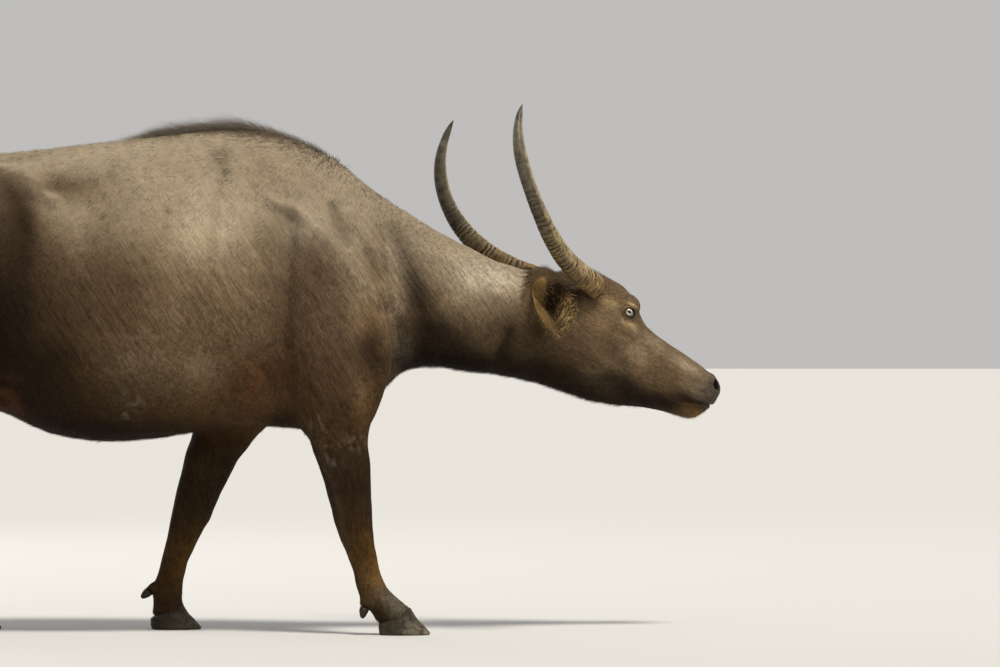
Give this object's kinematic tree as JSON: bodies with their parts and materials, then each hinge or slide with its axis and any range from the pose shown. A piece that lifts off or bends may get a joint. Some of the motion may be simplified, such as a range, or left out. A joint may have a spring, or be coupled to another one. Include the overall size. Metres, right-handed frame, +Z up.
{
  "type": "water buffalo figure",
  "caption": "Life-size water buffalo cow walking with its head low, with long ridged horns that sweep back, broad ears, cloven hooves and a tufted tail.",
  "frame": {"origin": "middle of the bounding box on the floor under the hooves", "axes": "+X towards the head, +Y to the animal's left, +Z up"},
  "size_m": [2.4844, 0.6752, 1.4351],
  "materials": {
    "hide": "short grey-brown hair over dull skin",
    "horn": "ridged grey-brown keratin, smoother and darker to the tip",
    "claw": "dark dusty keratin",
    "eye": "wet and glossy, dark pupil in a pale iris",
    "hair": "coarse dark tail hair"
  },
  "bodies": {
    "root": {"torso": "hide", "neck": "hide", "head": "hide", "ear_left": "hide", "ear_right": "hide", "leg_front_left": "hide", "leg_front_right": "hide", "leg_hind_left": "hide", "leg_hind_right": "hide", "tail": "hide", "udder": "hide", "tail_switch": "hair", "horn_left": "horn", "horn_right": "horn", "eye_left": "eye", "eye_right": "eye", "claw_front_left_outer": "claw", "claw_front_left_inner": "claw", "claw_front_right_outer": "claw", "claw_front_right_inner": "claw", "claw_hind_left_outer": "claw", "claw_hind_left_inner": "claw", "claw_hind_right_outer": "claw", "claw_hind_right_inner": "claw", "dewclaw_front_left_a": "claw", "dewclaw_front_left_b": "claw", "dewclaw_front_right_a": "claw", "dewclaw_front_right_b": "claw", "dewclaw_hind_left_a": "claw", "dewclaw_hind_left_b": "claw", "dewclaw_hind_right_a": "claw", "dewclaw_hind_right_b": "claw"}
  },
  "joints": []
}
